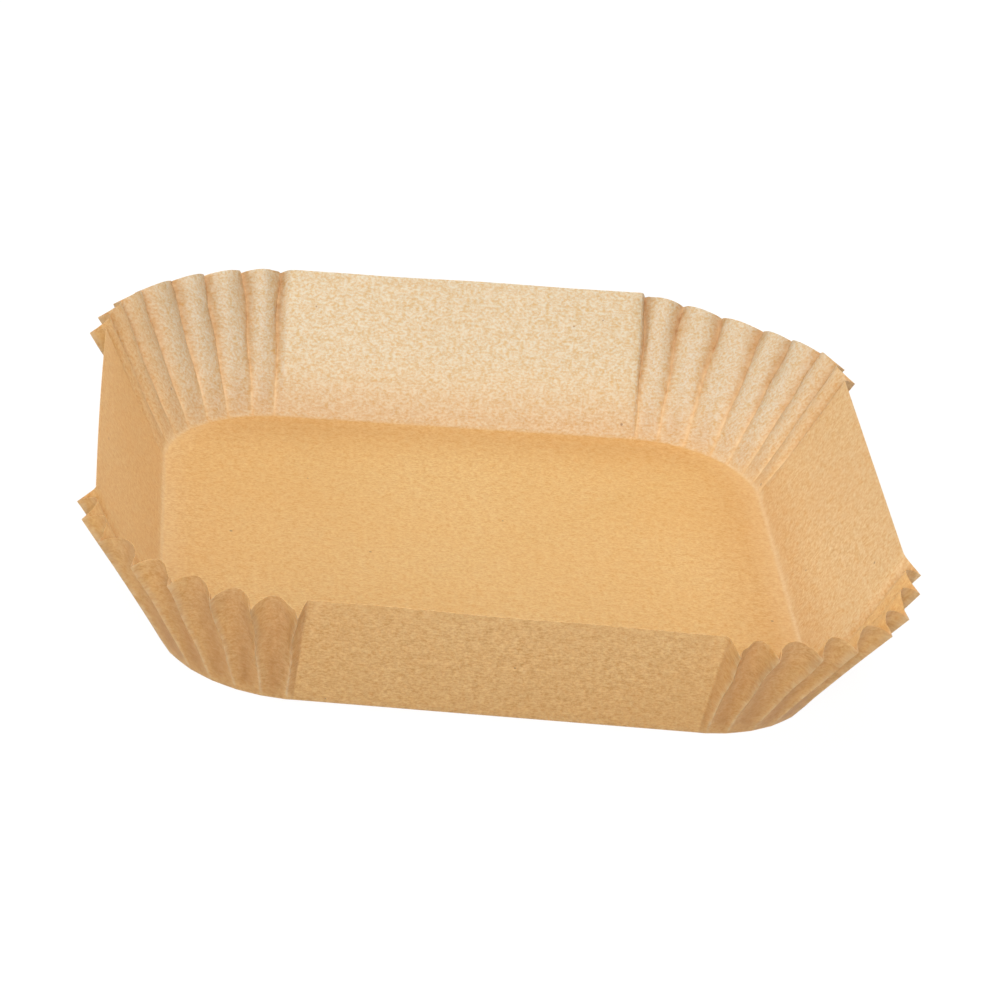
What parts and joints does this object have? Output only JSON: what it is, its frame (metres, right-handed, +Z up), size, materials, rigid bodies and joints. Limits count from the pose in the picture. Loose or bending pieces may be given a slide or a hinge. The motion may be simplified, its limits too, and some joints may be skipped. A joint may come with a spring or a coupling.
{
  "type": "air fryer paper liner",
  "caption": "Square paper tray with flat flared sides and rounded corners gathered into upright pleats, set in an air fryer basket to hold food and catch grease.",
  "frame": {"origin": "middle of the flat floor's underside, which rests on z = 0", "axes": "+Z up out of the open top, +X and +Y square to the flat sides"},
  "size_m": [0.2556, 0.2556, 0.0451],
  "materials": {
    "kraft_paper": "unbleached greaseproof kraft paper, matt, with fine pale and dark fibres"
  },
  "bodies": {
    "root": {"paper_liner": "kraft_paper"}
  },
  "joints": []
}
